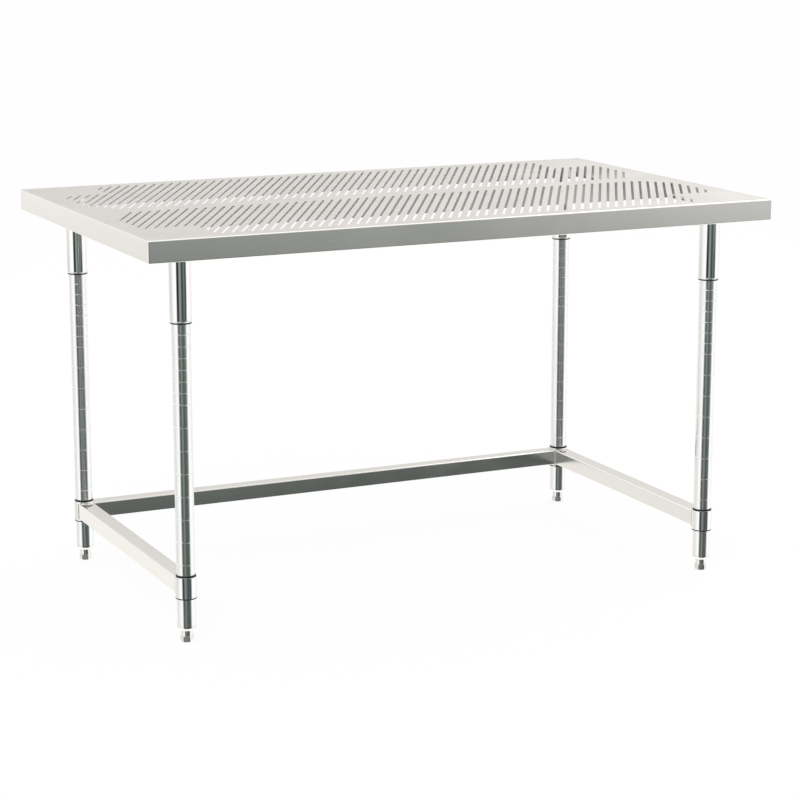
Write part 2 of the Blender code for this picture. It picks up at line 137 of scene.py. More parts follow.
# Levelling feet. The chamfer is a height from the hexagon's end and a depth from its points, and the
# neck's edge is a depth below its top and a depth inwards.
FOOT_SIDES = 48
FOOT_TURN = math.radians(6.0)
HEX_HEIGHT = 0.0130
HEX_ACROSS_FLATS = 0.0254
HEX_CHAMFER = ((0.0, 0.0016), (0.0004, 0.0009), (0.0012, 0.00015))
NECK_RADIUS = 0.0125
NECK_EDGE = ((0.0010, 0.0), (0.0003, 0.0003), (0.0, 0.0010))
STEM_CREST = 0.0050
STEM_ROOT = 0.0043
STEM_POINT = 0.0008
THREAD_START = 0.0005
THREAD_PITCH = 0.0015
THREAD_STEPS = 6

# Welds, which are rows of flattened beads
BEAD_RADIUS = 0.0016
BEAD_PITCH = 0.0015
BEAD_SQUASH = 0.8
WELD_STEPS = 48

# Studio. Metal mirrors the room by MIRROR_GAIN brighter than it is written.
FLOOR_REACH = 60.0
FLOOR_GLOW = 0.9
MIRROR_GAIN = 0.1
LAMP_SIZE = 3.0
LAMP_AIM = (0.0, 0.0, 0.5)

# The room that polished metal mirrors, in rows from the floor up. Each row has the heights above the
# horizon, in degrees, at which it starts and has taken over, and its colours by degrees round the
# room from straight in front.
ROOM = (
    # White floor straight below
    (-90, -89, ((-180, "#FFFFFF"), (180, "#FFFFFF"))),
    # Floor, dark in front of the table
    (-78, -68, (
        (-180, "#FFFFFF"), (-66, "#FFFFFF"), (-52, "#353A38"), (-30, "#565D5B"), (0, "#3A413F"),
        (30, "#3C4341"), (42, "#8F9494"), (58, "#FFFFFF"), (180, "#FFFFFF"))),
    # Foot of the walls, which the rails and the lower half of the posts mirror
    (-25, -17, (
        (-180, "#EAEAE7"), (-158, "#EEEEEB"), (-148, "#DEDEDB"), (-124, "#DEDEDA"), (-104, "#E8E8E4"),
        (-88, "#F6F6F3"), (-78, "#FFFFFF"), (-66, "#FFFFFF"), (-60, "#9CA19F"), (-55, "#484E4C"),
        (-48, "#303634"), (-41, "#4C5250"), (-34, "#727876"), (-25, "#848A88"), (-16, "#6C7270"),
        (-6, "#505654"), (2, "#484E4C"), (10, "#505654"), (18, "#545A58"), (24, "#464C4A"),
        (29, "#404644"), (34, "#626866"), (39, "#A6ABA9"), (45, "#EEEFEE"), (50, "#FFFFFF"),
        (76, "#FFFFFF"), (96, "#F5F4F1"), (150, "#F0EFEC"), (180, "#EAEAE7"))),
    # Walls, which the aprons, the sockets and the upper half of the posts mirror
    (-11, -10, (
        (-180, "#DCDCD8"), (-158, "#E0E0DC"), (-150, "#D4D4D0"), (-132, "#D4D4D0"), (-122, "#DAD9D6"),
        (-108, "#F2F1EE"), (-94, "#FAFAF8"), (-86, "#FFFFFF"), (-65, "#FFFFFF"), (-58, "#6C7270"),
        (-54, "#1C2220"), (-47, "#161C1A"), (-40, "#323937"), (-30, "#858C8A"), (-24, "#9AA19F"),
        (-14, "#707876"), (-6, "#454D4B"), (2, "#3C4442"), (11, "#606966"), (20, "#6C7572"),
        (27, "#4A5351"), (36, "#2C3432"), (41, "#727A7A"), (47, "#D4D7D6"), (52, "#FFFFFF"),
        (76, "#FFFFFF"), (96, "#F5F4F1"), (150, "#F0EFEC"), (180, "#DCDCD8"))),
    # Just below the horizon
    (-9, -5, (
        (-180, "#DCDBD7"), (-172, "#F4F3F0"), (-164, "#FFFFFF"), (-70, "#FFFFFF"), (-48, "#707876"),
        (-10, "#5C6462"), (10, "#747B79"), (19, "#B0B5B2"), (26, "#BCC0BD"), (30, "#E4E6E4"),
        (32, "#FFFFFF"), (60, "#FFFFFF"), (110, "#EEEDEB"), (146, "#D8D7D5"), (164, "#CECDCB"),
        (180, "#D2D1CE"))),
    # Just above the horizon, which the worktop mirrors
    (1, 5, (
        (-180, "#D6D5D2"), (-164, "#E4E3E0"), (-138, "#E2E1DE"), (-108, "#D2D2CF"), (-78, "#C6C8C6"),
        (-52, "#A9ADAB"), (-40, "#5C6462"), (-10, "#4E5654"), (10, "#5C6462"), (20, "#A0A5A2"),
        (28, "#CCCECC"), (34, "#EEEFEE"), (44, "#DADBDA"), (66, "#D2D3D1"), (92, "#D6D6D4"),
        (126, "#DAD9D7"), (146, "#D7D6D4"), (164, "#C9C8C6"), (180, "#D2D1CE"))),
    # White ceiling
    (13, 36, ((-180, "#FFFFFF"), (180, "#FFFFFF"))))


def box(node):
    """Lowest corner, highest corner and centre of a CAD node."""
    low, high = (Vector(corner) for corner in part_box(node))
    return low, high, (low + high) / 2


def upright(node):
    """Axis, radius, lowest and highest point of an upright CAD node that is round."""
    low, high, axis = box(node)
    return axis, (high.x - low.x) / 2, low.z, high.z


# Nodes

def add(tree, kind, inputs=None, stops=(), **settings):
    """Add a node with its settings and links, and for a ramp its stops.

    An input takes a value, a socket, a node, which stands for its first output, or a list of these.
    A stop is a place from 0 to 1 and a linear colour.
    """
    node = tree.nodes.new(kind)
    for name, value in settings.items():
        setattr(node, name, value)
    for name, value in (inputs or {}).items():
        for source in value if isinstance(value, list) else [value]:
            if isinstance(source, bpy.types.Node):
                source = source.outputs[0]
            if isinstance(source, bpy.types.NodeSocket):
                tree.links.new(source, node.inputs[name])
            else:
                node.inputs[name].default_value = source
    for index, (place, colour) in enumerate(stops):
        elements = node.color_ramp.elements
        element = elements[index] if index < len(elements) else elements.new(place)
        element.position = place
        element.color = colour
    return node


def linear(colour):
    """Linear RGBA of an sRGB colour written as #RRGGBB."""
    shares = [int(colour[place:place + 2], 16) / 255 for place in (1, 3, 5)]
    return (*(s / 12.92 if s <= 0.04045 else ((s + 0.055) / 1.055) ** 2.4 for s in shares), 1.0)


def blank_material(name):
    """Material with an empty node tree, and the tree."""
    material = bpy.data.materials.new(name)
    material.use_nodes = True
    material.node_tree.nodes.clear()
    return material, material.node_tree


# Materials

# Noise spends nearly all its area between these, so ramps and ranges take them as their ends
NOISE_LOW = 0.3
NOISE_HIGH = 0.7


def grain_lines(tree, length, width):
    """Noise drawn out into lines along the piece's grain, which is U in its UV map."""
    along = add(tree, "ShaderNodeUVMap", uv_map="grain")
    drawn_out = add(tree, "ShaderNodeVectorMath", {
        0: along, 1: (1 / length, 1 / width, 0.0)}, operation="MULTIPLY")
    return add(tree, "ShaderNodeTexNoise", {
        "Vector": drawn_out, "Scale": 1.0, "Detail": 3.0, "Roughness": 0.6}, noise_dimensions="2D")


def coat(tree, tint, dullness, relief, inputs):
    """End a material in a shader over a relief, with the shader's further inputs.

    Tint and dullness are each a noise and the two values between which it takes the colour and the
    roughness.
    """
    tint_noise, darkest, lightest = tint
    colour = add(tree, "ShaderNodeValToRGB", {"Fac": tint_noise}, [
        (NOISE_LOW, linear(darkest)), (NOISE_HIGH, linear(lightest))])
    dull_noise, smoothest, roughest = dullness
    roughness = add(tree, "ShaderNodeMapRange", {
        "Value": dull_noise, "From Min": NOISE_LOW, "From Max": NOISE_HIGH,
        "To Min": smoothest, "To Max": roughest})
    shader = add(tree, "ShaderNodeBsdfPrincipled", {
        "Base Color": colour, "Roughness": roughness, "Normal": relief, **inputs})
    add(tree, "ShaderNodeOutputMaterial", {"Surface": shader})


def brushed_stainless(name, smoothest, roughest):
    """Stainless steel, ground with 150 grit belts along its length.

    The belt lines spread the light across the grain, so the faces look soft and even.
    Real lines are 0.1 mm wide; these are 0.7 mm, the narrowest that a picture of the whole table shows.
    """
    material, tree = blank_material(name)
    lines = grain_lines(tree, length=0.150, width=0.0007)
    place = add(tree, "ShaderNodeTexCoord")
    patches = add(tree, "ShaderNodeTexNoise", {
        "Vector": place.outputs["Object"], "Scale": 1 / 0.120, "Detail": 2.0})
    relief = add(tree, "ShaderNodeBump", {"Height": lines, "Distance": 0.00001})
    tangent = add(tree, "ShaderNodeTangent", direction_type="UV_MAP", uv_map="grain")
    coat(tree, (lines, "#F8F4F0", "#FEFBF7"), (patches, smoothest, roughest), relief, {
        "Metallic": 1.0, "Anisotropic": 0.6, "Anisotropic Rotation": 0.25, "Tangent": tangent})
    return material


def polished_stainless(name, smoothest, roughest):
    """Stainless tube, buffed along its length after drawing.

    It mirrors the room, with faint drawing lines along the tube and a slow ripple in the wall.
    Real drawing lines are 0.05 mm wide; these are 0.9 mm, so that they show.
    """
    material, tree = blank_material(name)
    lines = grain_lines(tree, length=0.090, width=0.0009)
    place = add(tree, "ShaderNodeTexCoord")
    ripple = add(tree, "ShaderNodeTexNoise", {
        "Vector": place.outputs["Object"], "Scale": 1 / 0.020, "Detail": 2.0})
    wall = add(tree, "ShaderNodeBump", {"Height": ripple, "Distance": 0.00002})
    relief = add(tree, "ShaderNodeBump", {"Height": lines, "Distance": 0.000003, "Normal": wall})
    coat(tree, (lines, "#F3F3F2", "#FAFAF9"), (lines, smoothest, roughest), relief, {"Metallic": 1.0})
    return material


def mottled(name, metallic, clouds, grit, tints, roughness, dulled_by, relief):
    """Skin whose colour drifts in clouds, over a finer grit that gives it relief.

    Clouds and grit are each a size in metres and a detail, and one of them makes it dull in places.
    Relief is the grit's depth in metres and its strength.
    """
    material, tree = blank_material(name)
    place = add(tree, "ShaderNodeTexCoord")
    noise = {}
    for label, (size, detail) in {"clouds": clouds, "grit": grit}.items():
        noise[label] = add(tree, "ShaderNodeTexNoise", {
            "Vector": place.outputs["Object"], "Scale": 1 / size, "Detail": detail})
    depth, strength = relief
    bump = add(tree, "ShaderNodeBump", {"Height": noise["grit"], "Distance": depth, "Strength": strength})
    coat(tree, (noise["clouds"], *tints), (noise[dulled_by], *roughness), bump, {"Metallic": metallic})
    return material


# Worktop, ground with a coarser belt than the rails
BRUSHED = brushed_stainless("brushed_stainless_sheet", 0.20, 0.24)
RAIL_STEEL = brushed_stainless("brushed_stainless_rail", 0.15, 0.18)

# Inside of the sheet, left as it came from the rolling mill: duller than the ground side and cloudy
MILL = mottled(
    "mill_finish_stainless_sheet", metallic=1.0, clouds=(0.060, 4.0), grit=(0.0010, 2.0),
    tints=("#E9E8E6", "#F1F0EE"), roughness=(0.32, 0.40), dulled_by="clouds", relief=(0.00001, 1.0))

# Sockets and collars, polished to a mirror, and posts, which are only buffed and so a little softer
MIRROR = polished_stainless("mirror_polished_stainless_tube", 0.04, 0.07)
BUFFED = polished_stainless("buffed_stainless_tube", 0.18, 0.22)

# Moulded nylon with a fine matt spark finish, which gives a soft grey sheen on black
NYLON = mottled(
    "moulded_black_nylon", metallic=0.0, clouds=(0.010, 2.0), grit=(0.0006, 4.0),
    tints=("#161617", "#1F1F21"), roughness=(0.38, 0.52), dulled_by="grit", relief=(0.00002, 0.6))

# Die-cast zinc with bright plating, slightly soft from the casting underneath
ZINC = mottled(
    "plated_zinc_casting", metallic=1.0, clouds=(0.012, 2.0), grit=(0.0030, 3.0),
    tints=("#EBEAE7", "#F4F3F1"), roughness=(0.10, 0.17), dulled_by="grit", relief=(0.00002, 0.7))

# Moulded polyethylene, waxy and slightly mottled
POLYETHYLENE = mottled(
    "moulded_grey_polyethylene", metallic=0.0, clouds=(0.004, 3.0), grit=(0.004, 3.0),
    tints=("#86878A", "#949597"), roughness=(0.42, 0.55), dulled_by="grit", relief=(0.00003, 0.5))

# Stainless weld, brushed clean: silver with straw and blue tints left by the heat
WELD = mottled(
    "stainless_weld", metallic=1.0, clouds=(0.008, 3.0), grit=(0.0008, 3.0),
    tints=("#D9D2C6", "#E4E4E6"), roughness=(0.25, 0.38), dulled_by="clouds", relief=(0.00003, 0.6))


# Meshes

def neighbours(count):
    """Pairs of numbers that follow each other round a closed ring."""
    return [(index, (index + 1) % count) for index in range(count)]


def bridge(bm, ring, other):
    """Faces between two closed rings of as many points."""
    for index, after in neighbours(len(ring)):
        bm.faces.new((ring[index], ring[after], other[after], other[index]))


def lay_grain(bm, along):
    """Give each face a flat UV map in metres, with U along the grain.

    The grain runs along axis 0 or 1. On faces square to that axis it runs along Z.
    """
    layer = bm.loops.layers.uv.get("grain") or bm.loops.layers.uv.new("grain")
    for face in bm.faces:
        square_to = max(range(3), key=lambda axis: abs(face.normal[axis]))
        u_axis = along if square_to != along else 2
        v_axis = 3 - u_axis - square_to
        for loop in face.loops:
            loop[layer].uv = (loop.vert.co[u_axis], loop.vert.co[v_axis])


def lay_grain_round(bm, centre):
    """UV map of a turned piece in metres, with U up the piece and V round it."""
    layer = bm.loops.layers.uv.get("grain") or bm.loops.layers.uv.new("grain")
    for face in bm.faces:
        middle = face.calc_center_median() - centre
        turn = math.atan2(middle.y, middle.x)
        radius = middle.xy.length
        for loop in face.loops:
            place = loop.vert.co - centre
            step = math.atan2(place.y, place.x) - turn
            step = (step + math.pi) % (2 * math.pi) - math.pi
            loop[layer].uv = (place.z, (turn + step) * radius)


def object_from(name, bm, *materials, sharp=35.0):
    """Shaded object from a bmesh, which is used up. Angles over sharp degrees stay edges."""
    mesh = bpy.data.meshes.new(name)
    bm.normal_update()
    bm.to_mesh(mesh)
    bm.free()
    mesh.shade_smooth()
    mesh.set_sharp_from_angle(angle=math.radians(sharp))
    piece = bpy.data.objects.new(name, mesh)
    bpy.context.collection.objects.link(piece)
    for material in materials:
        mesh.materials.append(material)
    return piece


def settle(piece):
    """Turn a piece and its modifiers into a plain mesh and return its bmesh. The piece is removed."""
    bpy.context.view_layer.update()
    mesh = bpy.data.meshes.new_from_object(piece.evaluated_get(bpy.context.evaluated_depsgraph_get()))
    bm = bmesh.new()
    bm.from_mesh(mesh)
    bpy.data.objects.remove(piece)
    bpy.data.meshes.remove(mesh)
    return bm


def dress(piece, body, slot, *nodes):
    """Shade a piece by its large faces, parent it to its body's empty and hide the CAD nodes it stands
    for. The slot is not used.
    """
    modifier(piece, "WEIGHTED_NORMAL", keep_sharp=True)
    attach(piece, body)
    if nodes:
        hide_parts(*nodes)


def modifier(piece, kind, **settings):
    """Add a modifier with its settings."""
    made = piece.modifiers.new(kind.lower(), kind)
    for name, value in settings.items():
        setattr(made, name, value)


def rounded(corners, steps=4):
    """Round a closed outline. Each corner is its two coordinates and its rounding."""
    points = [Vector(corner[:2]) for corner in corners]
    result = []
    for index, (corner, (*_, radius)) in enumerate(zip(points, corners)):
        if not radius:
            result.append(corner)
            continue
        before = points[index - 1] - corner
        after = points[(index + 1) % len(points)] - corner
        reach = min(radius / math.tan(before.angle(after) / 2), before.length / 2, after.length / 2)
        start = corner + before.normalized() * reach
        end = corner + after.normalized() * reach
        for step in range(steps + 1):
            share = step / steps
            result.append(
                start * (1 - share) ** 2 + corner * (2 * share * (1 - share)) + end * share ** 2)
    return result


def turned(name, profile, axis, material, start=0.0, sweep=2 * math.pi):
    """Turn a closed (radius, height) profile about an upright axis."""
    bm = bmesh.new()
    direction = Vector((math.cos(start), math.sin(start), 0.0))
    rim = [bm.verts.new(direction * radius + Vector((0.0, 0.0, height))) for radius, height in profile]
    outline = bm.faces.new(rim)
    steps = round(ROUND_SIDES * sweep / (2 * math.pi))
    if sweep == 2 * math.pi:
        edges = outline.edges[:]
        bmesh.ops.delete(bm, geom=[outline], context="FACES_ONLY")
        bmesh.ops.spin(bm, geom=edges, angle=sweep, steps=steps, axis=(0.0, 0.0, 1.0), use_merge=True)
    else:
        bmesh.ops.spin(bm, geom=[outline], angle=sweep, steps=steps, axis=(0.0, 0.0, 1.0))
    bmesh.ops.remove_doubles(bm, verts=bm.verts[:], dist=TOUCHING)
    bmesh.ops.dissolve_degenerate(bm, edges=bm.edges[:], dist=TOUCHING / 10)
    loose = [edge for edge in bm.edges if not edge.link_faces]
    bmesh.ops.delete(bm, geom=loose, context="EDGES")
    bmesh.ops.recalc_face_normals(bm, faces=bm.faces[:])
    base = Vector((axis.x, axis.y, 0.0))
    bmesh.ops.translate(bm, verts=bm.verts[:], vec=base)
    lay_grain_round(bm, base)
    return object_from(name, bm, material)


# Geometry Nodes

def new_tree(name, sockets):
    """A Geometry Nodes tree with named inputs, and the sockets that give them."""
    tree = bpy.data.node_groups.new(name, "GeometryNodeTree")
    tree.interface.new_socket("Geometry", in_out="OUTPUT", socket_type="NodeSocketGeometry")
    tree.interface.new_socket("Geometry", in_out="INPUT", socket_type="NodeSocketGeometry")
    for label, kind in sockets.items():
        tree.interface.new_socket(label, in_out="INPUT", socket_type="NodeSocket" + kind)
    return tree, add(tree, "NodeGroupInput").outputs


def close_tree(tree, geometry, material):
    """End a tree in Realize Instances and Set Material."""
    real = add(tree, "GeometryNodeRealizeInstances", {"Geometry": geometry})
    coated = add(tree, "GeometryNodeSetMaterial", {"Geometry": real, "Material": material})
    add(tree, "NodeGroupOutput", {"Geometry": coated})


def grown(tree, seed, values):
    """Run a tree on a seed mesh with its named inputs set, and return the result's bmesh."""
    holder = bpy.data.objects.new("holder", seed)
    bpy.context.collection.objects.link(holder)
    nodes = holder.modifiers.new("grow", "NODES")
    nodes.node_group = tree
    for item in tree.interface.items_tree:
        if item.name in values:
            nodes[item.identifier] = values[item.name]
    return settle(holder)


def seed_mesh(points, edges=(), attributes=None):
    """Points and edges for a tree to grow on, with named numbers on the points."""
    mesh = bpy.data.meshes.new("seed")
    mesh.from_pydata(points, edges, [])
    for name, numbers in (attributes or {}).items():
        layer = mesh.attributes.new(name, "FLOAT", "POINT")
        layer.data.foreach_set("value", numbers)
    return mesh


def slotted_panel_tree():
    """Flat panel with a round-ended slot on each seed point.

    Each slot is a ring whose two halves are drawn apart by the point's half_run.
    """
    tree, given = new_tree("slotted_panel", {
        "Panel Length": "Float", "Panel Width": "Float", "Panel Height": "Float",
        "Slot Width": "Float", "Slot Lean": "Float", "Ring Points": "Int"})
    half_step = add(tree, "ShaderNodeMath", {0: math.pi, 1: given["Ring Points"]}, operation="DIVIDE")
    cosine = add(tree, "ShaderNodeMath", {0: half_step}, operation="COSINE")
    half_width = add(tree, "ShaderNodeMath", {0: given["Slot Width"], 1: 0.5}, operation="MULTIPLY")
    radius = add(tree, "ShaderNodeMath", {0: half_width, 1: cosine}, operation="DIVIDE")
    ring = add(tree, "GeometryNodeCurvePrimitiveCircle", {
        "Resolution": given["Ring Points"], "Radius": radius})
    turn = add(tree, "ShaderNodeCombineXYZ", {"Z": half_step})
    turned_ring = add(tree, "GeometryNodeTransform", {"Geometry": ring, "Rotation": turn})
    place = add(tree, "GeometryNodeInputPosition")
    parts = add(tree, "ShaderNodeSeparateXYZ", {0: place})
    side = add(tree, "ShaderNodeMath", {0: parts.outputs["Y"]}, operation="SIGN")
    sided = add(tree, "GeometryNodeStoreNamedAttribute", {
        "Geometry": turned_ring, "Name": "side", "Value": side}, data_type="FLOAT", domain="POINT")
    back_lean = add(tree, "ShaderNodeMath", {0: given["Slot Lean"], 1: -1.0}, operation="MULTIPLY")
    heading = add(tree, "ShaderNodeCombineXYZ", {"Z": back_lean})
    rings = add(tree, "GeometryNodeInstanceOnPoints", {
        "Points": given["Geometry"], "Instance": sided, "Rotation": heading})
    real = add(tree, "GeometryNodeRealizeInstances", {"Geometry": rings})
    read_side = add(tree, "GeometryNodeInputNamedAttribute", {"Name": "side"}, data_type="FLOAT")
    read_run = add(tree, "GeometryNodeInputNamedAttribute", {"Name": "half_run"}, data_type="FLOAT")
    shift = add(tree, "ShaderNodeMath", {0: read_side, 1: read_run}, operation="MULTIPLY")
    sine = add(tree, "ShaderNodeMath", {0: given["Slot Lean"]}, operation="SINE")
    cosine_lean = add(tree, "ShaderNodeMath", {0: given["Slot Lean"]}, operation="COSINE")
    direction = add(tree, "ShaderNodeCombineXYZ", {"X": sine, "Y": cosine_lean})
    offset = add(tree, "ShaderNodeVectorMath", {0: direction, "Scale": shift}, operation="SCALE")
    slots = add(tree, "GeometryNodeSetPosition", {"Geometry": real, "Offset": offset})
    border = add(tree, "GeometryNodeCurvePrimitiveQuadrilateral", {
        "Width": given["Panel Length"], "Height": given["Panel Width"]})
    outlines = add(tree, "GeometryNodeJoinGeometry", {"Geometry": [border, slots]})
    panel = add(tree, "GeometryNodeFillCurve", {"Curve": outlines}, mode="TRIANGLES")
    lift = add(tree, "ShaderNodeCombineXYZ", {"Z": given["Panel Height"]})
    raised = add(tree, "GeometryNodeTransform", {"Geometry": panel, "Translation": lift})
    close_tree(tree, raised, BRUSHED)
    return tree


def grooved_tube_tree():
    """Upright tube skin with round-bottomed ring grooves at the seed points' heights.

    The seed's first and last points are the tube's ends, marked by a zero groove.
    """
    tree, given = new_tree("grooved_tube", {
        "Radius": "Float", "Groove Depth": "Float", "Groove Width": "Float",
        "Groove Steps": "Int", "Sides": "Int"})
    marked = add(tree, "GeometryNodeInputNamedAttribute", {"Name": "groove"}, data_type="BOOLEAN")
    split = add(tree, "GeometryNodeSeparateGeometry", {
        "Geometry": given["Geometry"], "Selection": marked}, domain="POINT")
    half = add(tree, "ShaderNodeMath", {0: given["Groove Width"], 1: -0.5}, operation="MULTIPLY")
    bottom = add(tree, "ShaderNodeCombineXYZ", {"Z": half})
    top = add(tree, "ShaderNodeVectorMath", {0: bottom, 1: (-1.0, -1.0, -1.0)}, operation="MULTIPLY")
    section = add(tree, "GeometryNodeMeshLine", {
        "Count": given["Groove Steps"], "Start Location": bottom, "Offset": top}, mode="END_POINTS")
    place = add(tree, "GeometryNodeInputPosition")
    parts = add(tree, "ShaderNodeSeparateXYZ", {0: place})
    phase = add(tree, "ShaderNodeMath", {0: parts.outputs["Z"], 1: half}, operation="DIVIDE")
    angle = add(tree, "ShaderNodeMath", {0: phase, 1: math.pi}, operation="MULTIPLY")
    wave = add(tree, "ShaderNodeMath", {0: angle}, operation="COSINE")
    share = add(tree, "ShaderNodeMath", {0: wave, 1: 0.5, 2: 0.5}, operation="MULTIPLY_ADD")
    dip = add(tree, "ShaderNodeMath", {0: share, 1: given["Groove Depth"]}, operation="MULTIPLY")
    dipped = add(tree, "GeometryNodeStoreNamedAttribute", {
        "Geometry": section, "Name": "dip", "Value": dip}, data_type="FLOAT", domain="POINT")
    grooves = add(tree, "GeometryNodeInstanceOnPoints", {
        "Points": split.outputs["Selection"], "Instance": dipped})
    real = add(tree, "GeometryNodeRealizeInstances", {"Geometry": grooves})
    heights = add(tree, "GeometryNodeJoinGeometry", {"Geometry": [real, split.outputs["Inverted"]]})
    points = add(tree, "GeometryNodeMeshToPoints", {"Mesh": heights})
    spine = add(tree, "GeometryNodePointsToCurves", {"Points": points, "Weight": parts.outputs["Z"]})
    read_dip = add(tree, "GeometryNodeInputNamedAttribute", {"Name": "dip"}, data_type="FLOAT")
    radius = add(tree, "ShaderNodeMath", {0: given["Radius"], 1: read_dip}, operation="SUBTRACT")
    ring = add(tree, "GeometryNodeCurvePrimitiveCircle", {"Resolution": given["Sides"], "Radius": 1.0})
    skin = add(tree, "GeometryNodeCurveToMesh", {
        "Curve": spine, "Profile Curve": ring, "Scale": radius})
    close_tree(tree, skin, BUFFED)
    return tree


def weld_tree():
    """Overlapping flattened beads along the seed's edges."""
    tree, given = new_tree("weld", {
        "Bead Radius": "Float", "Bead Pitch": "Float", "Bead Squash": "Float"})
    path = add(tree, "GeometryNodeMeshToCurve", {"Mesh": given["Geometry"]})
    stops = add(tree, "GeometryNodeCurveToPoints", {
        "Curve": path, "Length": given["Bead Pitch"]}, mode="LENGTH")
    bead = add(tree, "GeometryNodeMeshUVSphere", {
        "Segments": 8, "Rings": 5, "Radius": given["Bead Radius"]})
    squash = add(tree, "ShaderNodeCombineXYZ", {"X": 1.0, "Y": 1.0, "Z": given["Bead Squash"]})
    beads = add(tree, "GeometryNodeInstanceOnPoints", {
        "Points": stops.outputs["Points"], "Instance": bead,
        "Rotation": stops.outputs["Rotation"], "Scale": squash})
    close_tree(tree, beads, WELD)
    return tree


SLOTTED_PANEL = slotted_panel_tree()
GROOVED_TUBE = grooved_tube_tree()
WELD_RUN = weld_tree()


# Welds

def weld(name, points, edges, body, slot):
    """Weld along the edges between points. It rides on a body and replaces no node."""
    bm = grown(WELD_RUN, seed_mesh(points, edges), {
        "Bead Radius": BEAD_RADIUS, "Bead Pitch": BEAD_PITCH, "Bead Squash": BEAD_SQUASH})
    lay_grain(bm, along=0)
    dress(object_from(name, bm, WELD), body, slot)


def circle(axis, radius, height, sides):
    """Points round an upright axis, all at one height."""
    return [
        (axis.x + radius * math.cos(2 * math.pi * side / sides),
         axis.y + radius * math.sin(2 * math.pi * side / sides), height) for side in range(sides)]


# Worktop

def slotted_band(length, width, leg_x, leg_y):
    """Outline of the slotted area behind the centre strip, clear of the two back corners."""
    inner = CENTRE_STRIP / 2
    outer = width / 2 - SLOT_SIDE_MARGIN
    end = length / 2 - SLOT_END_MARGIN
    corner_x = leg_x - CORNER_REACH_X
    corner_y = leg_y - CORNER_REACH_Y
    return [
        (NOTCH_RUN - end, inner),
        (end - NOTCH_RUN, inner),
        (end, inner + NOTCH_RUN / math.tan(SLOT_LEAN)),
        (end, corner_y),
        (corner_x, corner_y),
        (corner_x, outer),
        (-corner_x, outer),
        (-corner_x, corner_y),
        (-end, corner_y),
        (-end, inner + NOTCH_RISE),
    ]


def slot_runs(band, length):
    """Both ends of each slot's centre line: leaning lines clipped to the band, and their half-turn."""
    slope = math.tan(SLOT_LEAN)
    edges = list(zip(band, band[1:] + band[:1]))
    reach = math.ceil(length / SLOT_PITCH)
    runs = []
    for index in range(-reach, reach):
        start = (index + 0.5) * SLOT_PITCH
        crossings = []
        for (x0, y0), (x1, y1) in edges:
            side0 = x0 - start - slope * y0
            side1 = x1 - start - slope * y1
            if (side0 < 0) != (side1 < 0):
                crossings.append(y0 + (y1 - y0) * side0 / (side0 - side1))
        crossings.sort()
        for low, high in zip(crossings[::2], crossings[1::2]):
            if (high - low) / math.cos(SLOT_LEAN) >= SLOT_SHORTEST:
                ends = (Vector((start + slope * low, low)), Vector((start + slope * high, high)))
                runs += [ends, (-ends[1], -ends[0])]
    return runs


def folded_skirt(low, high):
    """Skin of the aprons, their bends and the narrow return below, open on top."""
    bm = bmesh.new()
    bmesh.ops.create_cube(bm, size=1.0)
    bmesh.ops.scale(bm, verts=bm.verts[:], vec=high - low)
    bmesh.ops.translate(bm, verts=bm.verts[:], vec=(low + high) / 2)
    folds = bm.edges[:]
    bottom = min(bm.faces, key=lambda face: face.calc_center_median().z)
    bmesh.ops.inset_region(bm, faces=[bottom], thickness=RETURN_WIDTH, use_even_offset=True)
    bmesh.ops.delete(bm, geom=[bottom], context="FACES")
    bmesh.ops.bevel(
        bm, geom=folds, offset=BEND_RADIUS, segments=BEND_STEPS, profile=0.5, affect="EDGES",
        clamp_overlap=False)
    top = max(bm.faces, key=lambda face: face.calc_area())
    bmesh.ops.delete(bm, geom=[top], context="FACES_ONLY")
    return bm


def make_deck():
    """One sheet: slotted on top, folded down on four sides and in again below."""
    low, high, _ = box("slotted_deck")
    post = box("post_back_right")[2]
    size = high - low
    runs = slot_runs(slotted_band(size.x, size.y, post.x, post.y), size.x)
    middles = [(*((start + end) / 2), 0.0) for start, end in runs]
    half_runs = [(end - start).length / 2 - SLOT_WIDTH / 2 for start, end in runs]
    bm = grown(SLOTTED_PANEL, seed_mesh(middles, attributes={"half_run": half_runs}), {
        "Panel Length": size.x - 2 * BEND_RADIUS, "Panel Width": size.y - 2 * BEND_RADIUS,
        "Panel Height": high.z, "Slot Width": SLOT_WIDTH, "Slot Lean": SLOT_LEAN,
        "Ring Points": SLOT_SIDES})
    skirt = folded_skirt(low, high)
    skirt_mesh = bpy.data.meshes.new("skirt")
    skirt.to_mesh(skirt_mesh)
    skirt.free()
    bm.from_mesh(skirt_mesh)
    bpy.data.meshes.remove(skirt_mesh)
    bmesh.ops.remove_doubles(bm, verts=bm.verts[:], dist=HAIR)
    bmesh.ops.recalc_face_normals(bm, faces=bm.faces[:])
    deck = object_from("worktop_deck", bm, BRUSHED, MILL)
    modifier(deck, "SOLIDIFY", thickness=SHEET, offset=-1.0, use_even_offset=True,
             material_offset=1, material_offset_rim=1)
    modifier(deck, "BEVEL", width=RIM_SOFTENING, segments=2, limit_method="ANGLE", angle_limit=SHARP_EDGE)
    bm = settle(deck)
    lay_grain(bm, along=0)
    dress(object_from("worktop_deck", bm, BRUSHED, MILL), "worktop", "brushed_steel", "slotted_deck")


def extruded(name, section, start, end, material):
    """Extrude a (y, z) section along X and give it grain along X."""
    bm = bmesh.new()
    near, far = ([bm.verts.new((x, y, z)) for y, z in section] for x in (start, end))
    bridge(bm, near, far)
    bm.faces.new(near[::-1])
    bm.faces.new(far)
    bmesh.ops.recalc_face_normals(bm, faces=bm.faces[:])
    lay_grain(bm, along=0)
    return object_from(name, bm, material)


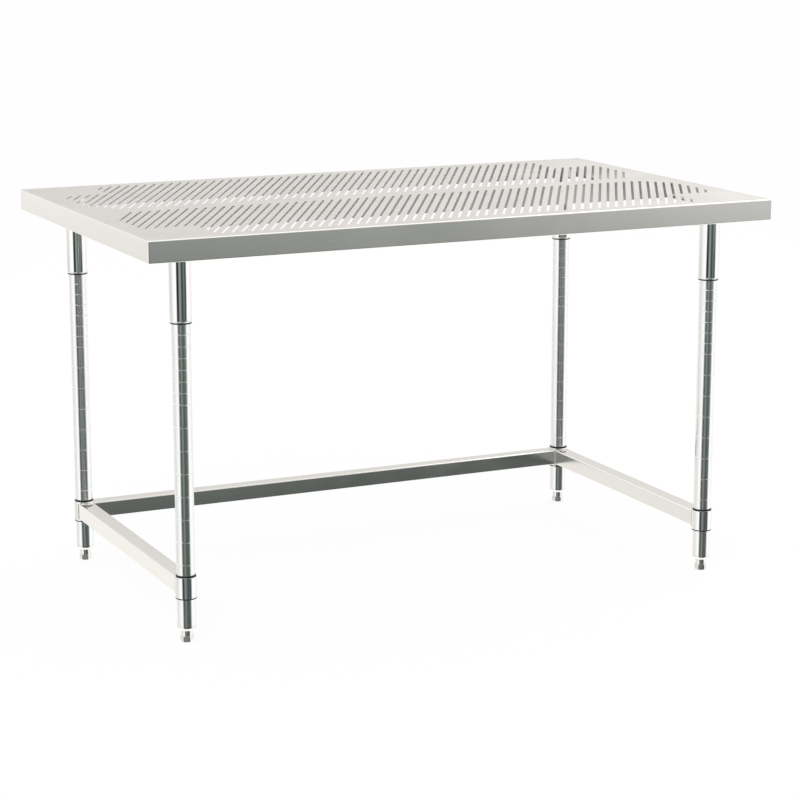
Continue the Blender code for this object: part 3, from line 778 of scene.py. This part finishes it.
def make_channel():
    """Channel under the centre strip, folded with open bends and stitched to the sheet."""
    low, high, _ = box("centre_channel")
    inner_y = high.y - CHANNEL_WALL
    inner_z = high.z - CHANNEL_WALL
    inner_bend = CHANNEL_BEND - CHANNEL_WALL
    section = rounded([
        (low.y, low.z, 0.0), (low.y, high.z, CHANNEL_BEND), (high.y, high.z, CHANNEL_BEND),
        (high.y, low.z, 0.0), (inner_y, low.z, 0.0), (inner_y, inner_z, inner_bend),
        (-inner_y, inner_z, inner_bend), (-inner_y, low.z, 0.0)], steps=5)
    channel = extruded("worktop_channel", section, low.x, high.x, MILL)
    dress(channel, "worktop", "brushed_steel", "centre_channel")
    points, edges = [], []
    for side in (low.y, high.y):
        for stitch in range(STITCHES):
            middle = low.x + (stitch + 0.5) * (high.x - low.x) / STITCHES
            edges.append((len(points), len(points) + 1))
            points += [(middle + end * STITCH_LENGTH / 2, side, high.z) for end in (-1, 1)]
    weld("weld_channel", points, edges, "worktop", "brushed_steel")


def make_socket(corner):
    """Plate in the corner and the tube welded under it."""
    low, high, centre = box("socket_plate_" + corner)
    bm = bmesh.new()
    outline = []
    for x, y in ((low.x, low.y), (high.x, low.y), (high.x, high.y), (low.x, high.y)):
        outermost = abs(x) > abs(centre.x) and abs(y) > abs(centre.y)
        outline.append((x, y, BEND_RADIUS if outermost else PLATE_CORNER))
    face = bm.faces.new([bm.verts.new((x, y, low.z)) for x, y in rounded(outline, steps=6)])
    raised = bmesh.ops.extrude_face_region(bm, geom=[face])
    moved = [item for item in raised["geom"] if isinstance(item, bmesh.types.BMVert)]
    bmesh.ops.translate(bm, verts=moved, vec=(0.0, 0.0, high.z - low.z))
    bmesh.ops.recalc_face_normals(bm, faces=bm.faces[:])
    name = "corner_plate_" + corner
    plate = object_from(name, bm, MILL)
    modifier(plate, "BEVEL", width=PLATE_EDGE, segments=2, limit_method="ANGLE", angle_limit=SHARP_EDGE)
    bm = settle(plate)
    lay_grain(bm, along=0)
    dress(object_from(name, bm, MILL), "worktop", "brushed_steel", "socket_plate_" + corner)

    axis, radius, tube_low, tube_high = upright("leg_socket_" + corner)
    bore = radius - TUBE_WALL
    line = tube_low + SOCKET_LINE_HEIGHT
    profile = rounded([
        (bore, tube_low, 0.0), (radius - SOCKET_CHAMFER, tube_low, TUBE_LIP),
        (radius, tube_low + SOCKET_CHAMFER, TUBE_LIP), (radius, line - SOCKET_LINE_SLOPE, 0.0),
        (radius - SOCKET_LINE_DEPTH, line, 0.0), (radius, line + SOCKET_LINE_STEP, 0.0),
        (radius, tube_high, 0.0), (bore, tube_high, 0.0)])
    socket = turned("socket_tube_" + corner, profile, axis, MIRROR)
    dress(socket, "worktop", "polished_steel", "leg_socket_" + corner)
    proud = BEAD_RADIUS / 3
    points = circle(axis, radius + proud, tube_high - proud, WELD_STEPS)
    weld("weld_socket_" + corner, points, neighbours(WELD_STEPS), "worktop", "polished_steel")


# Legs

def make_post(corner):
    """Tube with wide-spaced ring grooves, and close ones where the worktop is set."""
    axis, radius, low, high = upright("post_" + corner)
    first = low + LOWEST_GROOVE
    close_start = high - HIGHEST_GROOVE - CLOSE_PITCH * (CLOSE_GROOVES - 1)
    wide = round((close_start - first) / WIDE_PITCH)
    heights = [first + WIDE_PITCH * step for step in range(wide)]
    heights += [close_start + CLOSE_PITCH * step for step in range(CLOSE_GROOVES)]
    points = [(0.0, 0.0, height) for height in [low] + heights + [high]]
    seed = seed_mesh(points, attributes={"groove": [0.0] + [1.0] * len(heights) + [0.0]})
    bm = grown(GROOVED_TUBE, seed, {
        "Radius": radius, "Groove Depth": GROOVE_DEPTH, "Groove Width": GROOVE_WIDTH,
        "Groove Steps": GROOVE_STEPS, "Sides": ROUND_SIDES})
    bmesh.ops.remove_doubles(bm, verts=bm.verts[:], dist=TOUCHING)
    bmesh.ops.recalc_face_normals(bm, faces=bm.faces[:])
    skin = object_from("post_skin", bm, BUFFED)
    face = skin.data.polygons[0]
    outward = face.center.xy.dot(face.normal.xy) > 0
    modifier(skin, "SOLIDIFY", thickness=TUBE_WALL, offset=-1.0 if outward else 1.0)
    bm = settle(skin)
    bmesh.ops.recalc_face_normals(bm, faces=bm.faces[:])
    base = Vector((axis.x, axis.y, 0.0))
    bmesh.ops.translate(bm, verts=bm.verts[:], vec=base)
    lay_grain_round(bm, base)
    post = object_from("leg_post_" + corner, bm, BUFFED)
    dress(post, "legs", "polished_steel", "post_" + corner)


def make_cap(corner):
    """Domed plug with three soft ribs that grip the bore."""
    axis, flange, low, high = upright("post_cap_" + corner)
    _, post_radius, _, post_high = upright("post_" + corner)
    plug = post_radius - TUBE_WALL - FIT_GAP
    seat = post_high + FIT_GAP
    valley = plug - CAP_RIB_DEPTH
    profile = [(0.0, low), (plug - CAP_LEAD, low)]
    for share in CAP_RIBS:
        height = low + share * (seat - low)
        profile += [(valley, height - CAP_RIB_RISE), (plug, height), (valley, height + CAP_RIB_FALL)]
    profile += [(valley, seat), (flange, seat), (flange, seat + CAP_BRIM)]
    profile += [(flange * share, high - depth) for share, depth in CAP_DOME]
    cap = turned("post_plug_" + corner, profile, axis, POLYETHYLENE)
    dress(cap, "legs", "grey_plastic", "post_cap_" + corner)


def make_insert(corner):
    """Tapered plug under the post, with a rounded shoulder and a bore for the foot's stem."""
    axis, _, low, high = upright("foot_insert_" + corner)
    _, post_radius, post_low, _ = upright("post_" + corner)
    plug = post_radius - TUBE_WALL - FIT_GAP
    seat = post_low - FIT_GAP
    bore = STEM_CREST + FIT_GAP
    shoulder = seat - PLUG_SHOULDER / 2
    small = post_radius - (shoulder - low) * math.tan(PLUG_TAPER)
    profile = rounded([
        (bore, low, 0.0), (small, low, 0.0008), (post_radius, shoulder, PLUG_SHOULDER),
        (post_radius, seat, 0.0), (plug, seat, 0.0), (plug, high, 0.0006), (bore, high, 0.0004)],
        steps=6)
    insert = turned("foot_plug_" + corner, profile, axis, ZINC)
    dress(insert, "legs", "plated_zinc", "foot_insert_" + corner)


def make_sleeve_half(kind, corner, half, start):
    """Half of a split sleeve, with a foot flange, a body that narrows upwards and a rib inside."""
    node = f"{kind}_sleeve_{corner}_{half}_half"
    _, outer, low, high = upright(node)
    axis, post_radius, _, _ = upright("post_" + corner)
    bore = post_radius + FIT_GAP
    body = outer - SLEEVE_FLANGE_REACH
    flange = low + SLEEVE_FLANGE
    rib = low + RIB_HEIGHTS[kind]
    profile = rounded([
        (bore, low, 0.0002), (outer, low, 0.0004), (outer, flange, 0.0004), (body, flange, 0.0),
        (body - SLEEVE_TAPER, high, 0.0005), (bore, high, 0.0003),
        (bore, rib + GROOVE_WIDTH / 2, 0.0003), (bore - GROOVE_DEPTH, rib, 0.0006),
        (bore, rib - GROOVE_WIDTH / 2, 0.0003)], steps=3)
    gap = math.asin(SPLIT_GAP / 2 / bore)
    sleeve = turned(
        f"split_{kind}_sleeve_{corner}_{half}", profile, axis, NYLON,
        start=start + gap, sweep=math.pi - 2 * gap)
    dress(sleeve, "legs", "black_nylon", node)


def thread_rows(low, high):
    """Rings of (radius, height) points up a stem, whose crest winds round and fades out at both ends."""
    count = round((high - low) / THREAD_PITCH * THREAD_STEPS)
    rows = []
    for step in range(count + 1):
        height = low + (high - low) * step / count
        depth = (STEM_CREST - STEM_ROOT) * min(1.0, step / THREAD_STEPS, (count - step) / THREAD_STEPS)
        row = []
        for side in range(FOOT_SIDES):
            phase = (height / THREAD_PITCH - side / FOOT_SIDES) % 1.0
            row.append((STEM_ROOT + depth * (1 - abs(2 * phase - 1)), height))
        rows.append(row)
    return rows


def make_foot(corner):
    """Chamfered hexagon, round neck and threaded stem, in one closed mesh of stacked rings."""
    node = "levelling_foot_" + corner
    axis, _, low, high = upright(node)
    neck_top = upright("foot_insert_" + corner)[2] - FIT_GAP
    sixth = math.pi / 3
    flat = HEX_ACROSS_FLATS / 2
    point = flat / math.cos(sixth / 2)
    turns = [2 * math.pi * side / FOOT_SIDES for side in range(FOOT_SIDES)]
    hexagon = [flat / math.cos((turn - FOOT_TURN + sixth / 2) % sixth - sixth / 2) for turn in turns]
    cuts = [(low + rise, point - depth) for rise, depth in HEX_CHAMFER]
    cuts += [(low + HEX_HEIGHT - rise, point - depth) for rise, depth in HEX_CHAMFER[::-1]]
    rows = [[(min(radius, limit), height) for radius in hexagon] for height, limit in cuts]
    neck = [(NECK_RADIUS, low + HEX_HEIGHT)]
    neck += [(NECK_RADIUS - inwards, neck_top - below) for below, inwards in NECK_EDGE]
    rows += [[place] * FOOT_SIDES for place in neck + [(STEM_ROOT, neck_top)]]
    rows += thread_rows(neck_top + THREAD_START, high - STEM_POINT)
    rows.append([(STEM_ROOT - STEM_POINT, high)] * FOOT_SIDES)
    bm = bmesh.new()
    rings = [[
        bm.verts.new((axis.x + radius * math.cos(turn), axis.y + radius * math.sin(turn), height))
        for turn, (radius, height) in zip(turns, row)] for row in rows]
    for lower, upper in zip(rings, rings[1:]):
        bridge(bm, lower, upper)
    bm.faces.new(rings[0][::-1])
    bm.faces.new(rings[-1])
    bmesh.ops.recalc_face_normals(bm, faces=bm.faces[:])
    lay_grain_round(bm, Vector((axis.x, axis.y, 0.0)))
    foot = object_from("hex_foot_" + corner, bm, ZINC, sharp=28.0)
    dress(foot, "foot_" + corner, "plated_zinc", node)


# Lower frame

def rail_section(half, corner_radius, cuts):
    """Square ring of (y, z) points, with extra points where the saddle needs them."""
    points = []
    flat = half - corner_radius
    for quarter in range(4):
        start = math.pi * (1.0 + quarter / 2)
        middle = start + math.pi / 4
        centre = Vector((math.cos(middle), math.sin(middle))) * math.sqrt(2) * flat
        for step in range(RAIL_CORNER_STEPS + 1):
            angle = start + math.pi / 2 * step / RAIL_CORNER_STEPS
            points.append(centre + corner_radius * Vector((math.cos(angle), math.sin(angle))))
        if quarter % 2 == 0:
            sign = 1.0 if quarter == 0 else -1.0
            z = points[-1].y
            points += [Vector((sign * y, z)) for y in cuts if abs(y) < flat - HAIR]
    return points


def saddle(y, collar, trim):
    """How far from the leg's axis a rail ends, at this distance to the side of its middle.

    trim is the half width of a neighbouring rail on the -Y side, or zero.
    """
    reach = math.sqrt(max(0.0, collar ** 2 - y ** 2))
    return max(reach, trim) if trim and y < 0 else reach


def make_rail(name, node, start, end, along, trim):
    """Square tube from one leg's axis to the next, saddled round both collars and welded to them."""
    low, high, centre = box(node)
    collar = upright("frame_collar_front_left")[1] + SADDLE_GAP
    half = (high.z - low.z) / 2
    length = (end - start).length
    cuts = [half * step / SADDLE_STEPS for step in range(1 - SADDLE_STEPS, SADDLE_STEPS)]
    if trim:
        crossing = -math.sqrt(collar ** 2 - trim ** 2)
        cuts = sorted(cuts + [crossing - HAIR, crossing])
    bm = bmesh.new()
    outer_ends, inner_ends = [], []
    outer = rail_section(half, RAIL_CORNER, cuts)
    inner = rail_section(half - RAIL_WALL, RAIL_CORNER - RAIL_WALL, cuts)
    for outline, ends in ((outer, outer_ends), (inner, inner_ends)):
        ends.append([bm.verts.new((saddle(y, collar, trim), y, z)) for y, z in outline])
        ends.append([bm.verts.new((length - saddle(y, collar, trim), y, z)) for y, z in outline])
        bridge(bm, *ends)
    for outer_end, inner_end in zip(outer_ends, inner_ends):
        bridge(bm, outer_end, inner_end)
    bmesh.ops.recalc_face_normals(bm, faces=bm.faces[:])
    heading = Matrix.Rotation(math.pi / 2 if along == 1 else 0.0, 4, "Z")
    place = Matrix.Translation((start.x, start.y, centre.z)) @ heading
    bmesh.ops.transform(bm, matrix=place, verts=bm.verts[:])
    lay_grain(bm, along=along)
    rail = object_from(name, bm, RAIL_STEEL)
    dress(rail, "lower_frame", "brushed_steel", node)
    for label in ("start", "end"):
        path = []
        for y, z in outer:
            reach = saddle(y, collar, trim) + BEAD_RADIUS / 4
            path.append(place @ Vector((reach if label == "start" else length - reach, y, z)))
        weld(f"weld_{name}_{label}", path, neighbours(len(path)), "lower_frame", "brushed_steel")


def make_collar(corner):
    """Short tube round the post that the rails are welded to."""
    axis, radius, low, high = upright("frame_collar_" + corner)
    bore = radius - TUBE_WALL
    profile = rounded([
        (bore, low, TUBE_LIP), (radius, low, TUBE_LIP), (radius, high, TUBE_LIP), (bore, high, TUBE_LIP)])
    collar = turned("collar_tube_" + corner, profile, axis, MIRROR)
    dress(collar, "lower_frame", "polished_steel", "frame_collar_" + corner)


# Stage

def make_floor():
    """Pale seamless floor: plain white to the camera, with the table's soft shadow."""
    bm = bmesh.new()
    bmesh.ops.create_grid(bm, x_segments=1, y_segments=1, size=FLOOR_REACH)
    material, tree = blank_material("pale_studio_floor")
    path = add(tree, "ShaderNodeLightPath")
    paint = add(tree, "ShaderNodeBsdfDiffuse", {"Color": linear("#FAFAFA")})
    glow = add(tree, "ShaderNodeEmission", {"Color": linear("#FFFFFF"), "Strength": 1.0})
    straight = add(tree, "ShaderNodeMath", {
        0: path.outputs["Is Camera Ray"], 1: path.outputs["Is Transmission Ray"]}, operation="MAXIMUM")
    share = add(tree, "ShaderNodeMath", {0: straight, 1: FLOOR_GLOW}, operation="MULTIPLY")
    surface = add(tree, "ShaderNodeMixShader", {0: share, 1: paint, 2: glow})
    add(tree, "ShaderNodeOutputMaterial", {"Surface": surface})
    floor = object_from("studio_floor", bm, material)
    floor.visible_glossy = False


def make_studio():
    """White studio, in which metal mirrors the room.

    Round the room, 0 degrees is straight in front of the table and 90 is to its right.
    """
    world = bpy.data.worlds.new("studio")
    bpy.context.scene.world = world
    world.use_nodes = True
    tree = world.node_tree
    tree.nodes.clear()
    direction = add(tree, "ShaderNodeTexCoord")
    parts = add(tree, "ShaderNodeSeparateXYZ", {0: direction.outputs["Generated"]})
    forwards = add(tree, "ShaderNodeMath", {0: parts.outputs["Y"], 1: -1.0}, operation="MULTIPLY")
    angle = add(tree, "ShaderNodeMath", {0: parts.outputs["X"], 1: forwards}, operation="ARCTAN2")
    turn = add(tree, "ShaderNodeMath", {
        0: angle, 1: 1 / (2 * math.pi), 2: 0.5}, operation="MULTIPLY_ADD")
    height = add(tree, "ShaderNodeMath", {0: parts.outputs["Z"]}, operation="ARCSINE")
    mirrored = linear("#FFFFFF")
    for start, full, colours in ROOM:
        row = add(tree, "ShaderNodeValToRGB", {"Fac": turn}, [
            (degrees / 360 + 0.5, linear(colour)) for degrees, colour in colours])
        share = add(tree, "ShaderNodeMapRange", {
            "Value": height, "From Min": math.radians(start), "From Max": math.radians(full)})
        mirrored = add(tree, "ShaderNodeMix", {
            "Factor": share, 6: mirrored, 7: row}, data_type="RGBA").outputs[2]
    path = add(tree, "ShaderNodeLightPath")
    glossy = path.outputs["Is Glossy Ray"]
    room = add(tree, "ShaderNodeMix", {
        "Factor": glossy, 6: linear("#FAFAFA"), 7: mirrored}, data_type="RGBA")
    straight = add(tree, "ShaderNodeMath", {
        0: path.outputs["Is Camera Ray"], 1: path.outputs["Is Transmission Ray"]}, operation="MAXIMUM")
    seen = add(tree, "ShaderNodeMix", {
        "Factor": straight, 6: room.outputs[2], 7: linear("#FFFFFF")}, data_type="RGBA")
    strength = add(tree, "ShaderNodeMath", {0: glossy, 1: MIRROR_GAIN, 2: 1.0}, operation="MULTIPLY_ADD")
    background = add(tree, "ShaderNodeBackground", {"Color": seen.outputs[2], "Strength": strength})
    add(tree, "ShaderNodeOutputWorld", {"Surface": background})


def add_lamp(name, place, power):
    """Large round lamp, aimed at the table."""
    data = bpy.data.lights.new(name, "AREA")
    data.shape = "DISK"
    data.size = LAMP_SIZE
    data.energy = power
    lamp = bpy.data.objects.new(name, data)
    lamp.location = place
    lamp.rotation_euler = (Vector(LAMP_AIM) - Vector(place)).to_track_quat("-Z", "Y").to_euler()
    bpy.context.collection.objects.link(lamp)


def make_camera():
    """Camera where the photograph was taken from: dipped below the horizon and turned to the right."""
    dip = math.radians(12.353)
    turn = math.radians(25.176)
    data = bpy.data.cameras.new("camera")
    data.lens = 108.67
    data.sensor_width = 36.0
    data.clip_start = 0.1
    data.clip_end = 200.0
    camera = bpy.data.objects.new("camera", data)
    camera.location = (-2.3829, -5.1218, 1.6435)
    camera.rotation_euler = (math.pi / 2 - dip, 0.0, -turn)
    bpy.context.collection.objects.link(camera)
    bpy.context.scene.camera = camera


make_deck()
make_channel()
for corner in CORNERS:
    make_socket(corner)
    make_post(corner)
    make_cap(corner)
    make_insert(corner)
    make_foot(corner)
    make_collar(corner)
    for kind in ("worktop", "frame"):
        make_sleeve_half(kind, corner, "front", math.pi)
        make_sleeve_half(kind, corner, "back", 0.0)
axes = {corner: box("post_" + corner)[2].xy for corner in CORNERS}
make_rail("frame_rail_left", "rail_left", axes["front_left"], axes["back_left"], 1, 0.0)
make_rail("frame_rail_right", "rail_right", axes["front_right"], axes["back_right"], 1, 0.0)
rail_low, rail_high, _ = box("rail_left")
make_rail("frame_rail_back", "rail_back", axes["back_left"], axes["back_right"], 0,
          (rail_high.x - rail_low.x) / 2 + SADDLE_GAP)

make_floor()
make_studio()
add_lamp("key", (-3.0, -3.5, 4.5), 60.0)
add_lamp("fill", (3.5, 1.5, 4.0), 40.0)
make_camera()
bpy.context.scene.view_settings.view_transform = "Standard"
